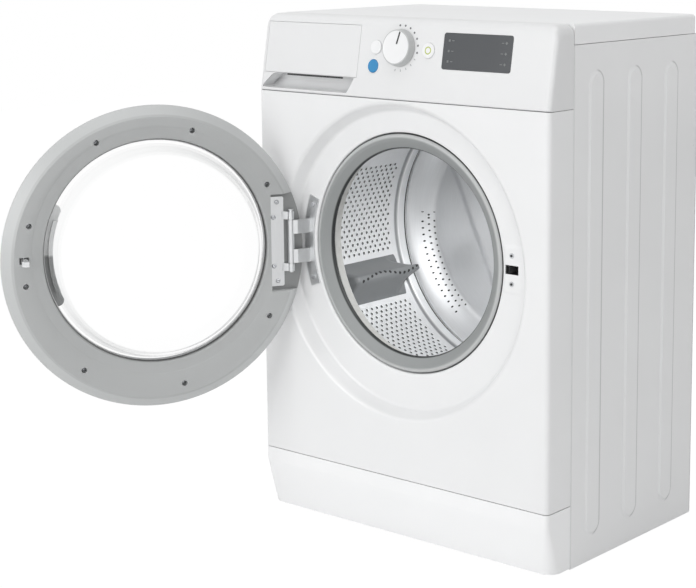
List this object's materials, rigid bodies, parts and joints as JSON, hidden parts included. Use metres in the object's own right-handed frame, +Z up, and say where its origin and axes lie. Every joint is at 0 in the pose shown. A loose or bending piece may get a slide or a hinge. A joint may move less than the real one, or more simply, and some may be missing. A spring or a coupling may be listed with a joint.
{
  "type": "front load washing machine",
  "caption": "Slim white front load washing machine with its round door open, showing the drum, detergent drawer, programme knob and display.",
  "frame": {"origin": "on the floor, midway between the four feet", "axes": "+X is right seen from the front, +Y points to the rear, +Z is up; the door hinge is on the left"},
  "size_m": [0.7611, 0.839, 0.85],
  "materials": {
    "white_paint": "glossy white enamel",
    "white_plastic": "white satin moulding",
    "grey_plastic": "light grey satin moulding",
    "dark_plastic": "smoked window",
    "blue_plastic": "blue key",
    "tub_plastic": "filled moulding",
    "rubber": "grey seal rubber",
    "glass": "clear pressed glass",
    "stainless": "drum sheet",
    "zinc": "bright zinc",
    "chrome": "plated",
    "cast_alloy": "die cast",
    "concrete": "cast weight",
    "iron": "laminations"
  },
  "bodies": {
    "cabinet": {"side_panel_left": "white_paint", "side_panel_right": "white_paint", "rear_panel": "zinc", "rear_access_cover": "zinc", "base_tray": "zinc", "top_cover": "white_plastic", "front_panel": "white_paint", "plinth": "white_plastic", "control_panel": "white_plastic", "feet": "zinc", "foot_nuts": "zinc", "transit_plugs": "white_plastic", "cord_gland": "white_plastic", "cabinet_screws": "zinc", "display_window": "dark_plastic", "control_board": "grey_plastic", "dispenser_housing": "grey_plastic", "inlet_valve": "white_plastic", "dispenser_hose": "rubber", "hinge_cabinet_leaf": "chrome", "door_lock": "grey_plastic", "door_seal": "rubber", "seal_front_clamp": "zinc", "suspension_springs": "zinc", "shock_cylinders": "tub_plastic", "drain_pump": "grey_plastic", "filter_cap": "grey_plastic", "sump_hose": "rubber"},
    "tub": {"tub_front": "tub_plastic", "tub_rear": "tub_plastic", "tub_bolts": "zinc", "front_counterweight": "concrete", "top_counterweight": "concrete", "shock_rods": "zinc", "drum_bearings": "zinc", "motor": "cast_alloy", "drive_belt": "rubber", "heater": "stainless", "seal_tub_clamp": "zinc"},
    "drum": {"drum_mantle": "stainless", "drum_back": "stainless", "drum_lifters": "grey_plastic", "drum_spider": "cast_alloy", "drum_pulley": "cast_alloy"},
    "rotor": {"motor_rotor": "iron"},
    "door": {"door_outer_frame": "white_plastic", "door_inner_ring": "grey_plastic", "door_glass": "glass", "hinge_door_leaf": "chrome", "hinge_pin": "chrome", "door_screws": "zinc"},
    "handle": {"door_handle": "grey_plastic"},
    "hook": {"door_hook": "chrome"},
    "drawer": {"drawer_front": "white_plastic", "drawer_tray": "white_plastic", "siphon_cap": "white_plastic"},
    "knob": {"program_knob": "white_plastic"},
    "power_key": {"power_button": "white_plastic"},
    "start_key": {"start_button": "white_plastic"},
    "quick_key": {"quick_button": "blue_plastic"}
  },
  "joints": [
    {"name": "door_swing", "type": "hinge", "parent": "cabinet", "child": "door", "pos_m": [-0.224, -0.212, 0.477], "axis": [0, 0, 1], "range_deg": [-6, 119]},
    {"name": "handle_pull", "type": "hinge", "parent": "door", "child": "handle", "pos_m": [-0.44379, -0.58067, 0.477], "axis": [0, 0, 1], "range_deg": [0, 14], "stiffness_Nm_per_rad": 2},
    {"name": "hook_release", "type": "hinge", "parent": "door", "child": "hook", "pos_m": [-0.43625, -0.59285, 0.477], "axis": [0, 0, 1], "range_deg": [0, 8.1]},
    {"name": "drawer_slide", "type": "slide", "parent": "cabinet", "child": "drawer", "axis": [0, -1, 0], "range_m": [0, 0.18]},
    {"name": "knob_turn", "type": "hinge", "parent": "cabinet", "child": "knob", "pos_m": [0, -0.19185, 0.80476], "axis": [0, -0.9848, 0.1736], "continuous": true},
    {"name": "power_press", "type": "slide", "parent": "cabinet", "child": "power_key", "axis": [0, 0.9848, -0.1736], "range_m": [0, 0.0015], "stiffness_N_per_m": 400},
    {"name": "start_press", "type": "slide", "parent": "cabinet", "child": "start_key", "axis": [0, 0.9848, -0.1736], "range_m": [0, 0.0015], "stiffness_N_per_m": 400},
    {"name": "quick_press", "type": "slide", "parent": "cabinet", "child": "quick_key", "axis": [0, 0.9848, -0.1736], "range_m": [0, 0.0015], "stiffness_N_per_m": 400},
    {"name": "tub_float", "type": "slide", "parent": "cabinet", "child": "tub", "axis": [0, 0, 1], "range_m": [-0.01, 0.01], "stiffness_N_per_m": 12000, "springref_m": 0.02702, "deforming": ["door_seal", "suspension_springs", "dispenser_hose", "sump_hose"]},
    {"name": "drum_spin", "type": "hinge", "parent": "tub", "child": "drum", "pos_m": [0, 0.1, 0.477], "axis": [0, 1, 0], "continuous": true},
    {"name": "rotor_spin", "type": "hinge", "parent": "tub", "child": "rotor", "pos_m": [0.07, 0.1, 0.135], "axis": [0, 1, 0], "continuous": true}
  ],
  "couplings": [
    {"joint": "rotor_spin", "follows": "drum_spin", "ratio": 12.727},
    {"joint": "hook_release", "follows": "handle_pull", "ratio": 0.57}
  ]
}
